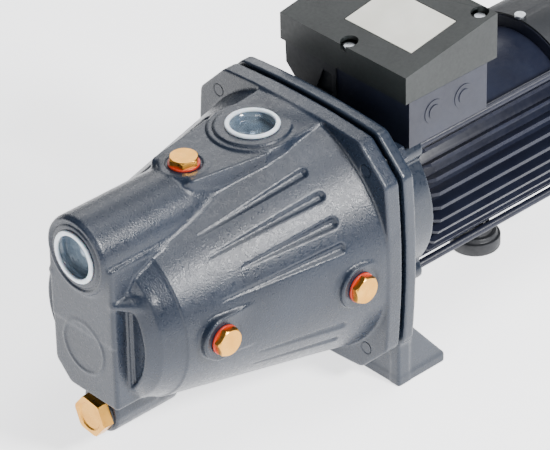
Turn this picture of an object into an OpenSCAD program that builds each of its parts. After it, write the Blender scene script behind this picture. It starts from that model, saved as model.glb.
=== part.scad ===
// Shallow well jet pump with its single-phase motor.
// +Y runs along the shaft from the suction end to the fan, +Z is up, and the origin is on the
// ground under the middle of the cast foot. Millimetres.

/* [Shaft and layout] */
// Height of the shaft above the ground
shaft_z = 100; // [98:0.5:102]
// Where the pump casing's flange ends along the shaft
joint_y = -24.5; // [-25:0.1:-24]
// Gap between the two flanges
flange_gap = 3.8; // [3.4:0.1:4.2]

/* [Pump casing] */
// Half width of the eight-sided flange at its corners
flange_half = 86.3; // [85.5:0.1:87]
// Half length of each straight side of the flange
flange_side = 63; // [61:0.5:65]
// How far each long side bows outwards
flange_bow = 3; // [1:0.5:3.5]
// Thickness of the casing flange
flange_t = 12; // [11:0.5:13]
// Outer radius of the tapered barrel at the flange
barrel_r_rear = 90; // [89:0.5:90.5]
// Outer radius of the tapered barrel at its front step
barrel_r_front = 60.6; // [60:0.2:61.5]
// Where the barrel steps down to the front collar
step_y = -182; // [-184:0.5:-181]
// Casting wall
wall = 6; // [5.5:0.5:6.5]
// Front face of the casing's end plate
plate_y = -215.5; // [-216:0.5:-215]
// Half width of the end plate
plate_half = 29.5; // [29:0.5:31]
// Height of the end plate's lower edge above the ground
plate_z = 52.5; // [52:0.5:54]
// Outer radius of the suction tube on top of the casing
tube_r = 27; // [26.5:0.5:28]
// Height of the top deck around the discharge port
deck_z = 184.5; // [184:0.5:185.5]

/* [Ports] */
// Wall radius of a G1 port, at the thread's minor diameter
port_r = 15.15; // [15.15:0.01:15.15]
// Length of the threaded wall
port_len = 16; // [15:1:17]
// Radius of the plain mouth in front of the thread
mouth_r = 16.9; // [16.8:0.1:17.2]
// Depth of the plain mouth
mouth_depth = 9; // [8.5:0.5:10]
// Height of the suction port above the shaft
suction_rise = 57.4; // [57:0.2:58]
// Face of the suction port
suction_y = -219; // [-219.5:0.5:-218.5]
// Distance of the discharge port along the shaft
discharge_y = -69.2; // [-70:0.2:-68.5]
// Face of the discharge port
discharge_z = 187; // [186.5:0.5:188]

/* [Plugs] */
// Width across flats of a priming or gauge plug
plug_af = 17.5; // [17:0.5:18]
// Height of a small plug's hexagon
plug_head = 4.5; // [4:0.5:5]
// Shank radius of a small plug
plug_r = 6.5; // [6.3:0.1:6.7]
// Outer radius of a small plug's washer
washer_r = 10.3; // [10.2:0.1:10.6]
// Distance of the priming plug along the shaft
priming_y = -127.5; // [-128:0.5:-126]
// Distance of the rear gauge plug along the shaft
gauge_rear_y = -59.1; // [-60:0.1:-58.5]
// Distance of the front gauge plug along the shaft
gauge_front_y = -158.7; // [-159:0.1:-158]
// Width across flats of the drain plug
drain_af = 25; // [24:0.5:26]
// Distance of the drain plug below the shaft
drain_drop = 66.9; // [66:0.1:67.5]

/* [Bracket] */
// Thickness of the bracket flange
bracket_t = 9; // [8:0.5:10]
// Outer radius of the bracket drum
drum_r = 63.5; // [63:0.5:64]
// Rear end of the bracket drum
drum_end_y = 29.5; // [29:0.5:30]
// Half width of the cast foot
foot_half = 82; // [80:0.5:84]
// Thickness of the foot's base
foot_t = 6.5; // [6:0.5:8]
// Distance of each bolt slot from the middle
slot_x = 60.3; // [59:0.1:61.5]
// Width of each bolt slot
slot_w = 10; // [9:0.5:11]

/* [Motor] */
// Outer radius of the cooling fins
fin_r = 62.3; // [61.5:0.1:62.5]
// Number of fins that a full ring would have
fin_count = 38; // [36:1:40]
// Rear end of the finned housing
housing_end_y = 172; // [170:1:174]
// Rear end of the fan cover
cover_end_y = 234; // [232:1:236]
// Length of the stator and rotor stacks
stack_len = 70; // [60:1:74]

/* [Terminal box] */
// Half width of the terminal box cover
box_half = 58; // [57:0.5:59]
// Height of the joint between box and cover
box_joint_z = 192; // [191:0.5:193]
// Height of the cover's front edge
cover_front_z = 211.8; // [210:0.2:213]
// Rise of the sloping cover, front to rear
cover_rise = 13.5; // [12:0.5:15]

/* [Hidden] */
$fn = 72;
cut = 1;
fit_gap = 0.05;
slip = 0.3;

// Colours
slate = [0.33, 0.37, 0.42];
navy = [0.15, 0.17, 0.24];
charcoal = [0.27, 0.29, 0.29];
rubber_black = [0.05, 0.05, 0.06];
brass = [0.85, 0.65, 0.33];
steel = [0.70, 0.71, 0.73];
washer_red = [0.78, 0.24, 0.12];
cap_white = [0.85, 0.89, 0.92];
plate_white = [0.86, 0.86, 0.82];
noryl = [0.12, 0.12, 0.13];
copper = [0.72, 0.42, 0.20];

// Stations along the shaft
flange_front_y = joint_y - flange_t;
spigot_y = joint_y - 3;
bracket_front_y = joint_y + flange_gap;
bracket_back_y = bracket_front_y + bracket_t;
collar_y = -197;
collar_r = 54;
nose_y = -204.5;
nose_r = 46.5;
register_r = 74.3;
spigot_r = register_r - 0.1;
chamber_front_y = -199;
nozzle_wall_y = -201.5;
suction_gallery_y = -195.5;
venturi_wall_y = -181.5;
chamber_y = -175.5;
suction_z = shaft_z + suction_rise;
drain_z = shaft_z - drain_drop;
drain_face_y = -204.5;
drain_channel_r = 15.5;
drain_bore_r = 10.5;
seal_land_y = spigot_y;
bearing_w = 12;
bearing_r = 20;
bearing_bore_r = 8.5;
front_bearing_y = 4;
rear_bearing_y = 160;
stack_y = 62;
housing_r = 53;
housing_bore_r = 50;
bolt_xz = 46.7;
bracket_split_z = 50;
bolt_r = 2.9;
corner_bolt = 68.2;
impeller_r = 51;
box_front_y = 9.5;
box_rear_y = 92;
tray_split_x = -9;
base_z = 165;
base_skirt_z = 157;
hex_turn = 30;
pad_rear_x = 87.1;
pad_front_x = 68.3;
pad_r = 14.5;
priming_z = 183.8;
priming_face_r = washer_r + 1.7;
washer_t = 1.5;

// Radius of the barrel's outside at a place along the shaft
function barrel_r(y) = barrel_r_front
    + (barrel_r_rear - barrel_r_front) * (y - step_y) / (flange_front_y - step_y);

// One bowed side of the flange, turned to side k
function side_point(k, t) =
    let (x = -flange_side + 2 * flange_side * t,
         y = flange_half + flange_bow * (1 - pow(2 * t - 1, 2)))
    [x * cos(90 * k) + y * sin(90 * k), -x * sin(90 * k) + y * cos(90 * k)];
side_steps = 6;
flange_points = [for (k = [0:3]) for (i = [0:side_steps]) side_point(k, i / side_steps)];

// Builds upwards from a station along the shaft, with local +Z along +Y
module on_shaft(y, x = 0, z = shaft_z) {
    translate([x, y, z]) rotate([-90, 0, 0]) children();
}

module rod_y(y0, y1, r, x = 0, z = shaft_z) {
    on_shaft(y0, x, z) cylinder(h = y1 - y0, r = r);
}

module cone_y(y0, y1, r0, r1) {
    on_shaft(y0) cylinder(h = y1 - y0, r1 = r0, r2 = r1);
}

module ring_y(y0, y1, r_out, r_in) {
    difference() {
        rod_y(y0, y1, r_out);
        rod_y(y0 - cut, y1 + cut, r_in);
    }
}

// An outline drawn in X and Z, between two stations
module slab_y(y0, y1) {
    translate([0, y1, 0]) rotate([90, 0, 0]) linear_extrude(y1 - y0) children();
}

// An outline drawn in Y and Z, between two widths
module slab_x(x0, x1) {
    translate([x0, 0, 0]) rotate([90, 0, 90]) linear_extrude(x1 - x0) children();
}

module box(low, high) {
    translate(low) cube(high - low);
}

module flange_outline() {
    translate([0, shaft_z]) polygon(flange_points);
}

module at_corners(d) {
    for (x = [-d, d], z = [-d, d]) translate([x, 0, z]) children();
}

// ---- Pump casing ----

module deck_outline(inset) {
    half_rear = 29 - inset;
    half_front = 19 - inset;
    front = -140 + inset;
    shoulder = discharge_y - 12;
    polygon([[-half_rear, flange_front_y + cut], [-half_rear, shoulder], [-half_front, front],
             [half_front, front], [half_rear, shoulder], [half_rear, flange_front_y + cut]]);
}

module casing_body() {
    slab_y(flange_front_y, joint_y) flange_outline();
    cone_y(step_y, flange_front_y, barrel_r_front, barrel_r_rear);
    cone_y(collar_y, step_y, collar_r, barrel_r_front - 1);
    cone_y(nose_y, collar_y + 0.01, nose_r, collar_r);
    slab_y(plate_y, -150) polygon([
        [-plate_half, suction_z], [-plate_half, plate_z + 8], [-plate_half + 14, plate_z],
        [plate_half - 5, plate_z], [plate_half, plate_z + 5], [plate_half, suction_z]]);
    translate([0, 0, shaft_z]) linear_extrude(suction_rise) polygon([
        [-plate_half, plate_y], [-22, -118], [22, -118], [plate_half, plate_y]]);
    rod_y(plate_y, -100, tube_r, 0, suction_z);
    rod_y(suction_y, plate_y + cut, tube_r - 1, 0, suction_z);
    translate([0, 0, suction_z]) linear_extrude(deck_z - suction_z) deck_outline(0);
    translate([0, discharge_y, suction_z]) cylinder(h = 185.7 - suction_z, r = 29);
    translate([0, discharge_y, suction_z]) cylinder(h = discharge_z - suction_z, r = 25);
    translate([0, priming_y, suction_z]) cylinder(h = priming_z - suction_z, r = 16);
    rod_y(drain_face_y, -150, drain_channel_r, 0, drain_z);
    gauge_boss(gauge_rear_y, pad_rear_x, 60);
    gauge_boss(gauge_front_y, pad_front_x, 40);
}

module gauge_boss(y, pad_x, root_x) {
    translate([root_x, y, shaft_z]) rotate([0, 90, 0]) cylinder(h = pad_x - root_x, r = pad_r);
}

// The flat spot face around a gauge plug runs back into the taper
module spot_face(y, pad_x, tail) {
    translate([pad_x, y, shaft_z]) rotate([0, 90, 0]) cylinder(h = 12, r = pad_r);
    box([pad_x, y, shaft_z - pad_r], [pad_x + 12, y + tail, shaft_z + pad_r]);
}

// Water space: barrel, deck and tube, less the ejector block in front
module water_space() {
    difference() {
        union() {
            cone_y(step_y, flange_front_y + 4, barrel_r_front - wall, barrel_r_rear - wall);
            cone_y(chamber_front_y, step_y + cut, nose_r - 1, barrel_r_front - wall);
            translate([0, 0, suction_z - 8]) linear_extrude(deck_z - wall - suction_z + 8)
                intersection() {
                    deck_outline(wall);
                    translate([-40, -160]) square([80, 160 + flange_front_y + 4]);
                }
            rod_y(chamber_y, -90, tube_r - wall, 0, suction_z);
            box([-16, chamber_y, shaft_z], [16, -110, suction_z]);
        }
        box([-22, chamber_front_y - cut, 78], [22, chamber_y, 230]);
        box([-15, chamber_front_y - cut, 0], [15, suction_gallery_y, 230]);
    }
}

module casing_bores() {
    // suction port, and the gallery down to the ejector
    rod_y(suction_y - cut, suction_y + mouth_depth, mouth_r, 0, suction_z);
    rod_y(suction_y + mouth_depth - cut, suction_y + mouth_depth + port_len, port_r, 0, suction_z);
    box([-16, suction_gallery_y, 84], [16, venturi_wall_y, suction_z + 14]);
    // pressure gallery from the drain channel up to the nozzle
    box([-9, plate_y + wall, drain_z + 4], [9, nozzle_wall_y, shaft_z + 9]);
    rod_y(nozzle_wall_y - cut, suction_gallery_y + cut, 8);
    rod_y(venturi_wall_y - cut, chamber_y + cut, 13);
    rod_y(drain_face_y - cut, -152, drain_bore_r, 0, drain_z);
    rod_y(plate_y - cut, drain_face_y, 16, 0, drain_z);
    // discharge port
    translate([0, discharge_y, discharge_z - mouth_depth]) cylinder(h = mouth_depth + cut, r = mouth_r);
    translate([0, discharge_y, discharge_z - mouth_depth - port_len])
        cylinder(h = port_len + cut, r = port_r);
    // plug holes, and the spot face sunk into the deck for the priming plug's washer
    translate([0, priming_y, priming_z]) cylinder(h = 5, r = priming_face_r);
    translate([0, priming_y, 170]) cylinder(h = 20, r = plug_r + 0.1);
    gauge_hole(gauge_rear_y, pad_rear_x, 74);
    gauge_hole(gauge_front_y, pad_front_x, 50);
    // tapped holes for the flange bolts
    at_corners(corner_bolt) rod_y(flange_front_y - cut, joint_y + cut, 4.1);
    // register for the bracket's spigot
    rod_y(flange_front_y + 4 - cut, joint_y + cut, register_r);
}

module gauge_hole(y, pad_x, root_x) {
    translate([root_x, y, shaft_z]) rotate([0, 90, 0]) cylinder(h = pad_x - root_x + cut, r = plug_r + 0.1);
}

module pump_casing() {
    color(slate) difference() {
        union() {
            difference() {
                casing_body();
                water_space();
                spot_face(gauge_rear_y, pad_rear_x, flange_front_y - gauge_rear_y);
                spot_face(gauge_front_y, pad_front_x, 18);
            }
            // inner bosses that carry the port and plug threads
            translate([0, discharge_y, discharge_z - mouth_depth - port_len])
                cylinder(h = port_len + mouth_depth, r = 21);
            translate([0, priming_y, 173]) cylinder(h = priming_z - 173, r = 13);
            gauge_boss(gauge_rear_y, pad_rear_x, 75);
            gauge_boss(gauge_front_y, pad_front_x, 52);
            rod_y(drain_face_y, -190, drain_channel_r, 0, drain_z);
        }
        casing_bores();
    }
}

module casing_gasket() {
    color(rubber_black) ring_y(joint_y + fit_gap, bracket_front_y - fit_gap, 81, spigot_r + 0.4);
}

// ---- Bracket ----

module foot_cheek(x0, x1) {
    slab_x(x0, x1) polygon([
        [bracket_front_y, 0], [20.5, 0], [20.5, foot_t], [17.5, 11],
        [bracket_back_y, 46], [bracket_front_y, 46]]);
}

module foot_body() {
    box([-foot_half, bracket_front_y, 0], [foot_half, 20.5, foot_t]);
    box([-foot_half, bracket_front_y, 0], [foot_half, bracket_back_y, 50]);
    foot_cheek(-foot_half, -foot_half + 6);
    foot_cheek(foot_half - 6, foot_half);
    slab_x(-4, 4) polygon([
        [bracket_back_y - cut, foot_t - cut], [18, foot_t - cut], [18, 41], [bracket_back_y - cut, 41]]);
}

module foot_slot(x) {
    translate([x, 8, -cut]) cylinder(h = foot_t + 2 * cut, r = slot_w / 2);
    box([x - slot_w / 2, 8, -cut], [x + slot_w / 2, 22, foot_t + cut]);
}

// The whole casting: flange, drum, bearing seat, tie-bolt lugs and foot
module bracket_casting() {
    difference() {
        union() {
            slab_y(bracket_front_y, bracket_back_y) flange_outline();
            foot_body();
            rod_y(spigot_y, bracket_back_y, spigot_r);
            ring_y(bracket_back_y - cut, drum_end_y, drum_r, drum_r - 6.5);
            ring_y(-3, 4, drum_r - 4, 10);
            rod_y(-3, front_bearing_y + bearing_w, 26);
            at_corners(bolt_xz) rod_y(bracket_back_y - cut, drum_end_y, 7);
        }
        rod_y(spigot_y - cut, spigot_y + 7, 14.05);
        rod_y(spigot_y - cut, 20, 9.5);
        rod_y(front_bearing_y, 20, bearing_r);
        rod_y(bracket_back_y - 3, -3, 40);
        at_corners(bolt_xz) rod_y(8, drum_end_y + cut, bolt_r + 0.1);
        at_corners(corner_bolt) rod_y(bracket_front_y - cut, bracket_back_y + cut, 4.4);
        // drip windows in both sides of the drum
        box([-70, bracket_back_y + 1, 68], [-40, 11, 122]);
        box([40, bracket_back_y + 1, 68], [70, 11, 122]);
        foot_slot(-slot_x);
        foot_slot(slot_x);
    }
}

module below_bracket_split() {
    box([-100, spigot_y - cut, -cut], [100, drum_end_y + cut, bracket_split_z]);
}

module motor_bracket() {
    color(slate) difference() {
        bracket_casting();
        below_bracket_split();
    }
}

module bracket_foot() {
    color(slate) intersection() {
        bracket_casting();
        below_bracket_split();
    }
}

// ---- Hydraulic parts ----

module diffuser() {
    vane_count = 8;
    color(noryl) difference() {
        union() {
            ring_y(-70, -66, 60.5, 17.2);
            ring_y(-66.5, spigot_y - 1, 60.5, 57);
            ring_y(-33, spigot_y - 1, 73, 57);
            ring_y(-84, -69.95, 19, 15.2);
            for (i = [0:vane_count - 1])
                on_shaft(-66.5) rotate([0, 0, i * 360 / vane_count])
                    translate([52.5, -1.5, 0]) cube([6, 3, 22]);
        }
        for (i = [0:vane_count - 1])
            on_shaft(-54) rotate([0, 0, (i + 0.5) * 360 / vane_count])
                translate([54, 0, 0]) rotate([0, 90, 0]) cylinder(h = 9, r = 5);
    }
}

module venturi_tube() {
    color(noryl) difference() {
        union() {
            rod_y(venturi_wall_y, chamber_y + 0.5, 12.95);
            rod_y(chamber_y + 0.3, chamber_y + 4, 16);
            cone_y(chamber_y + 3, -84, 12, 15);
            rod_y(-85, -70.3, 15.1);
        }
        ring_y(-179.5, -177.5, 14, 11.2);
        cone_y(venturi_wall_y - 0.01, -165, 9, 6.5);
        cone_y(-165.01, -70, 6.5, 12.8);
    }
}

module ejector_oring() {
    color(rubber_black) ring_y(-179.4, -177.6, 12.95, 11.3);
}

module ejector_nozzle() {
    color(brass) difference() {
        union() {
            rod_y(-204.5, nozzle_wall_y - fit_gap, 8.8);
            rod_y(nozzle_wall_y - 0.2, suction_gallery_y + 1, 7.95);
            cone_y(suction_gallery_y + 0.9, -184, 7.95, 3.8);
        }
        cone_y(-205, -183, 6.3, 2.6);
    }
}

module impeller() {
    blade_count = 6;
    color(brass) difference() {
        union() {
            ring_y(-69.8, -58, 16.7, 14.2);
            ring_y(-60, -58, impeller_r, 14.2);
            rod_y(-50, -47, impeller_r);
            rod_y(-57, -38, 12.5);
            for (i = [0:blade_count - 1])
                on_shaft(-58.5) rotate([0, 0, i * 360 / blade_count])
                    translate([16, -1, 0]) rotate([0, 0, 24]) cube([34, 2, 10]);
        }
        rod_y(-72, -37, 7.55);
        on_shaft(-58, 0) translate([-1.55, 6, 0]) cube([3.1, 4.1, 30]);
        rod_y(-57.5, -56.9, 13);
    }
}

module impeller_nut() {
    color(steel) difference() {
        on_shaft(-64) cylinder(h = 6.9, r = 10, $fn = 6);
        rod_y(-65, -57, 6.05);
    }
}

module impeller_key() {
    color(steel) on_shaft(-55.5) translate([-1.5, 5.7, 0]) cube([3, 4.2, 15]);
}

module shaft() {
    color(steel) difference() {
        union() {
            rod_y(-67, -56.9, 6);
            rod_y(-57, -18, 7.5);
            rod_y(-18.1, 201, bearing_bore_r - 0.02);
            rod_y(front_bearing_y + bearing_w + 0.1, rear_bearing_y - 0.1, 12);
        }
        on_shaft(-55.6) translate([-1.55, 5.6, 0]) cube([3.1, 3, 15.2]);
        ring_y(198, 199.2, 10, 7.5);
    }
}

module seal_seat() {
    color([0.62, 0.62, 0.6]) ring_y(spigot_y + fit_gap, spigot_y + 6.95, 14, 9);
}

module seal_ring() {
    color([0.15, 0.15, 0.16]) ring_y(-32.6, spigot_y - 0.1, 12.6, 7.6);
}

// Round wire wound as a helix between two closed ends
module coil(mean_r, wire_r, turns, height) {
    sides = 8;
    per_turn = 20;
    rings = turns * per_turn;
    points = [for (i = [0:rings]) for (j = [0:sides - 1])
        let (a = 360 * i / per_turn, b = 360 * j / sides, r = mean_r + wire_r * cos(b))
        [r * cos(a), r * sin(a), height * i / rings + wire_r * sin(b)]];
    walls = [for (i = [0:rings - 1]) for (j = [0:sides - 1])
        let (k = (j + 1) % sides)
        [i * sides + j, i * sides + k, (i + 1) * sides + k, (i + 1) * sides + j]];
    start_cap = [[for (j = [sides - 1:-1:0]) j]];
    end_cap = [[for (j = [0:sides - 1]) rings * sides + j]];
    polyhedron(concat(points), concat(walls, start_cap, end_cap), convexity = 8);
}

module seal_spring() {
    color(steel) on_shaft(-37.2) coil(10, 0.7, 2, 3.8);
}

module slinger() {
    color(rubber_black) ring_y(-12, -9.5, 16, bearing_bore_r + 0.02);
}

// ---- Bearings ----

ball_track_r = 14.25;
ball_r = 3.35;

module ball_groove(y) {
    on_shaft(y + bearing_w / 2) rotate_extrude() translate([ball_track_r, 0]) circle(r = ball_r + 0.06);
}

module bearing_outer(y) {
    color(steel) difference() {
        ring_y(y + fit_gap, y + bearing_w, bearing_r - 0.02, 17);
        ball_groove(y);
    }
}

module bearing_inner(y) {
    color(steel) difference() {
        ring_y(y + fit_gap, y + bearing_w, 11.5, bearing_bore_r);
        ball_groove(y);
    }
}

module bearing_balls(y) {
    ball_count = 8;
    color(steel) for (i = [0:ball_count - 1])
        on_shaft(y + bearing_w / 2) rotate([0, 0, i * 360 / ball_count])
            translate([ball_track_r, 0, 0]) sphere(r = ball_r);
}

module front_bearing_outer() { bearing_outer(front_bearing_y); }
module front_bearing_inner() { bearing_inner(front_bearing_y); }
module front_bearing_balls() { bearing_balls(front_bearing_y); }
module rear_bearing_outer() { bearing_outer(rear_bearing_y); }
module rear_bearing_inner() { bearing_inner(rear_bearing_y); }
module rear_bearing_balls() { bearing_balls(rear_bearing_y); }

module wave_washer() {
    color(steel) ring_y(172.1, 172.9, 19.6, 15.5);
}

// ---- Motor ----

slot_count = 24;

module stator_core() {
    color([0.45, 0.46, 0.48]) difference() {
        ring_y(stack_y, stack_y + stack_len, housing_bore_r - fit_gap, 28.5);
        for (i = [0:slot_count - 1])
            on_shaft(stack_y - cut) rotate([0, 0, i * 360 / slot_count])
                translate([27, -1.9, 0]) cube([14, 3.8, stack_len + 2 * cut]);
    }
}

module stator_windings() {
    color(copper) {
        ring_y(stack_y - 18, stack_y - 0.5, 44, 31);
        ring_y(stack_y + stack_len + 0.5, stack_y + stack_len + 18, 44, 31);
        for (i = [0:slot_count - 1])
            on_shaft(stack_y - 2) rotate([0, 0, i * 360 / slot_count])
                translate([31.5, -1.5, 0]) cube([9, 3, stack_len + 4]);
    }
}

module rotor_core() {
    color([0.5, 0.51, 0.53]) ring_y(stack_y, stack_y + stack_len, 28, 12.02);
}

module rotor_end_rings() {
    color([0.75, 0.76, 0.78]) {
        ring_y(stack_y - 6, stack_y - 0.02, 26, 17);
        ring_y(stack_y + stack_len + 0.02, stack_y + stack_len + 6, 26, 17);
    }
}

// Radial fins are left out where the terminal box stands
module fins() {
    step = 360 / fin_count;
    for (i = [0:fin_count - 1]) {
        a = 2.7 + i * step;
        if (a < 44 || a > 136)
            translate([0, 0, shaft_z]) rotate([0, -a, 0]) slab_fin();
    }
}

module slab_fin() {
    translate([0, 0, -1.2]) linear_extrude(2.4) polygon([
        [housing_r - 2, 31], [fin_r - 5, 31], [fin_r, 37.5], [fin_r, housing_end_y - 6],
        [fin_r - 4, housing_end_y - 2], [housing_r - 2, housing_end_y - 2]]);
}

module motor_housing() {
    color(navy) difference() {
        union() {
            rod_y(drum_end_y + 0.05, housing_end_y, housing_r);
            fins();
            box([-9, 124, 34], [9, 144, 52]);
            box([-43, drum_end_y + 0.5, shaft_z + 40], [43, 80, base_z + cut]);
            box([tray_split_x, 13.5, base_skirt_z], [box_half - 1, 84, box_joint_z - 1]);
        }
        rod_y(drum_end_y - cut, housing_end_y + cut, housing_bore_r);
        box([tray_split_x + 3, 16.5, base_z + 3], [box_half - 4, 81, box_joint_z]);
        rod_y(10, drum_end_y + 0.05, drum_r + slip);
        // wiring hole from the box down to the windings
        translate([20, 45, shaft_z + 30]) cylinder(h = 50, r = 9);
        // round knockouts in the right-hand side
        for (y = [36, 63]) translate([box_half - 6, y, 175.4]) rotate([0, 90, 0]) cylinder(h = 8, r = 8.6);
        translate([0, 134, 30]) cylinder(h = 16, r = 2.6);
        translate([30, 20, base_z - 2]) cylinder(h = 12, r = 1.7);
    }
}

module rear_shield() {
    color(navy) difference() {
        union() {
            rod_y(housing_end_y + 0.05, 178, fin_r - 0.8);
            rod_y(housing_end_y + 0.1 - 3, 178, housing_bore_r - fit_gap);
            rod_y(rear_bearing_y, 178, 26);
            at_corners(bolt_xz) rod_y(housing_end_y + 0.05, 178, 7);
        }
        rod_y(rear_bearing_y - cut, 173, bearing_r);
        rod_y(rear_bearing_y - cut, 180, 10);
        ring_y(housing_end_y - 4, housing_end_y + 2, housing_bore_r - 5, 30);
        at_corners(bolt_xz) rod_y(housing_end_y - cut, 180, bolt_r + 0.1);
        for (a = [90, 210, 330])
            translate([0, 174.5, shaft_z]) rotate([0, -a, 0]) translate([fin_r - 10, 0, 0])
                rotate([0, 90, 0]) cylinder(h = 10, r = 1.7);
    }
}

module tie_bolts() {
    color(steel) at_corners(bolt_xz) {
        rod_y(9, 178.1, bolt_r - 0.1);
        on_shaft(178.1) cylinder(h = 3.6, r = 5.2, $fn = 6);
    }
}

module flange_bolts() {
    color(steel) at_corners(corner_bolt) {
        rod_y(flange_front_y, bracket_back_y + 0.1, 4);
        on_shaft(bracket_back_y + 0.1) cylinder(h = 5.3, r = 7.5, $fn = 6);
    }
}

module fan() {
    blade_count = 8;
    color(noryl) difference() {
        union() {
            rod_y(183, 197.9, 13);
            rod_y(183, 185.5, 50);
            for (i = [0:blade_count - 1])
                on_shaft(185) rotate([0, 0, i * 360 / blade_count])
                    translate([12, -1.1, 0]) cube([38, 2.2, 18]);
        }
        rod_y(182, 206, bearing_bore_r + 0.02);
    }
}

module fan_clip() {
    color(steel) difference() {
        ring_y(198.05, 199.15, 11.5, 7.55);
        on_shaft(197.5) translate([-2.5, 0, 0]) cube([5, 12, 3]);
    }
}

module fan_cover() {
    slot_total = 20;
    color(noryl) difference() {
        union() {
            rod_y(housing_end_y + 0.5, cover_end_y - 8, fin_r + 1);
            cone_y(cover_end_y - 8.01, cover_end_y, fin_r + 1, fin_r - 7);
        }
        rod_y(housing_end_y, cover_end_y - 8, fin_r - 0.7);
        cone_y(cover_end_y - 8.02, cover_end_y - 2.5, fin_r - 0.7, fin_r - 7);
        for (i = [0:slot_total - 1])
            on_shaft(cover_end_y - 6) rotate([0, 0, i * 360 / slot_total])
                translate([16, -1.8, 0]) cube([34, 3.6, 8]);
        // notches over the tie bolt lugs
        at_corners(bolt_xz) rod_y(housing_end_y, 185, 7.6);
        for (a = [90, 210, 330])
            translate([0, 174.5, shaft_z]) rotate([0, -a, 0]) translate([fin_r - 4, 0, 0])
                rotate([0, 90, 0]) cylinder(h = 8, r = 2.2);
    }
}

module fan_cover_screws() {
    color(steel) for (a = [90, 210, 330])
        translate([0, 174.5, shaft_z]) rotate([0, -a, 0]) {
            translate([fin_r - 9.5, 0, 0]) rotate([0, 90, 0]) cylinder(h = 10.7, r = 1.6);
            translate([fin_r + 1.05, 0, 0]) rotate([0, 90, 0]) cylinder(h = 2.2, r = 3.8);
        }
}

// ---- Terminal box ----

module tray_outline() {
    polygon([[-box_half + 1, box_joint_z - 1], [-box_half + 1.5, 174], [-box_half + 11, 164.6],
             [tray_split_x - 0.1, 164.6], [tray_split_x - 0.1, box_joint_z - 1]]);
}

module tray_cavity() {
    polygon([[-box_half + 4, box_joint_z], [-box_half + 4.5, 175], [-box_half + 12.5, 167.4],
             [tray_split_x - 3, 167.4], [tray_split_x - 3, box_joint_z]]);
}

module terminal_tray() {
    color(charcoal) difference() {
        slab_y(12.5, 84) tray_outline();
        slab_y(15.5, 81) tray_cavity();
        rod_y(11, 86, fin_r + 4);
        box([-44.3, 19.7, 150], [-8, 80.3, base_z + 1.2]);
        // vent recess in the front wall
        slab_y(11, 14.2) polygon([[-27, 167.5], [-21, 183], [-12.5, 183], [-12.5, 167.5]]);
    }
}

module terminal_gasket() {
    color(rubber_black) difference() {
        box([-box_half + 1.2, 13, box_joint_z - 0.95], [box_half - 1.2, 83.6, box_joint_z - 0.05]);
        box([-box_half + 4, 16, box_joint_z - 2], [box_half - 4, 80.8, box_joint_z + 2]);
    }
}

module cover_side(drop, inset) {
    polygon([[box_front_y + inset, box_joint_z - drop], [box_rear_y - inset, box_joint_z - drop],
             [box_rear_y - inset, cover_front_z + cover_rise - inset],
             [box_front_y + inset, cover_front_z - inset]]);
}

module terminal_cover() {
    color(charcoal) difference() {
        slab_x(-box_half, box_half) cover_side(0, 0);
        slab_x(-box_half + 2.6, box_half - 2.6) cover_side(2, 2.6);
        // half-round screw recesses
        translate([1, 15, cover_front_z - 4.5]) cylinder(h = 12, r = 6);
        translate([-48, 86, cover_front_z + 7.5]) cylinder(h = 12, r = 6);
        translate([48, 86, cover_front_z + 7.5]) cylinder(h = 12, r = 6);
        // recess for the rating plate
        plate_solid(30.6, 21, 0.9, -0.6);
        for (p = cover_screw_places) translate([p[0], p[1], 180]) cylinder(h = 60, r = 2.4);
    }
    color(charcoal) difference() {
        for (p = cover_screw_places) {
            translate([p[0], p[1], box_joint_z]) cylinder(h = p[2] - box_joint_z, r = 5);
            translate([p[0], p[1], p[2] - 2.6]) cylinder(h = 2.6, r = 7.5);
        }
        for (p = cover_screw_places) translate([p[0], p[1], 180]) cylinder(h = 60, r = 2.4);
        box([-70, -10, 180], [70, box_front_y + 0.5, 240]);
        box([-70, box_rear_y - 0.5, 180], [70, 110, 240]);
        box([-90, 0, 180], [-box_half + 0.5, 110, 240]);
        box([box_half - 0.5, 0, 180], [90, 110, 240]);
    }
}

cover_screw_places = [[1, 15, cover_front_z - 4.5], [-48, 86, cover_front_z + 7.5],
                      [48, 86, cover_front_z + 7.5]];
cover_slope = atan(cover_rise / (box_rear_y - box_front_y));
nameplate_x = 12;
nameplate_y = 50;

// A flat plate lying on the sloping cover
module plate_solid(half_x, half_y, t, sink) {
    z = cover_front_z + cover_rise * (nameplate_y - box_front_y) / (box_rear_y - box_front_y);
    translate([nameplate_x, nameplate_y, z]) rotate([cover_slope, 0, 0])
        translate([-half_x, -half_y, sink]) cube([2 * half_x, 2 * half_y, t]);
}

module nameplate() {
    color(plate_white) plate_solid(30, 20.4, 0.55, -0.55);
}

module cover_screws() {
    color(steel) for (p = cover_screw_places) {
        translate([p[0], p[1], p[2] + 0.05]) cylinder(h = 2.4, r = 3.6);
        translate([p[0], p[1], box_joint_z + 1]) cylinder(h = p[2] - box_joint_z, r = 2.2);
    }
}

module capacitor() {
    color([0.75, 0.76, 0.78]) {
        rod_y(22, 76, 16.5, -33, 186);
        rod_y(75.9, 78, 14, -33, 186);
    }
}

module terminal_board() {
    color([0.10, 0.10, 0.11]) box([2, 30, base_z + 3.05], [44, 70, base_z + 7]);
}

module terminal_studs() {
    color(brass) for (x = [10, 23, 36], y = [38, 62])
        translate([x, y, base_z + 7.05]) {
            cylinder(h = 11, r = 2);
            cylinder(h = 3, r = 4.2, $fn = 6);
        }
}

module knockout_plugs() {
    color(navy) for (y = [36, 63]) translate([box_half - 4.5, y, 175.4]) rotate([0, 90, 0]) {
        cylinder(h = 3.9, r = 8.55);
        cylinder(h = 4.4, r = 5);
    }
}

module earth_screw() {
    color(brass) translate([30, 20, base_z + 3.05]) cylinder(h = 2.4, r = 3.4);
}

// ---- Rear foot ----

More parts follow.
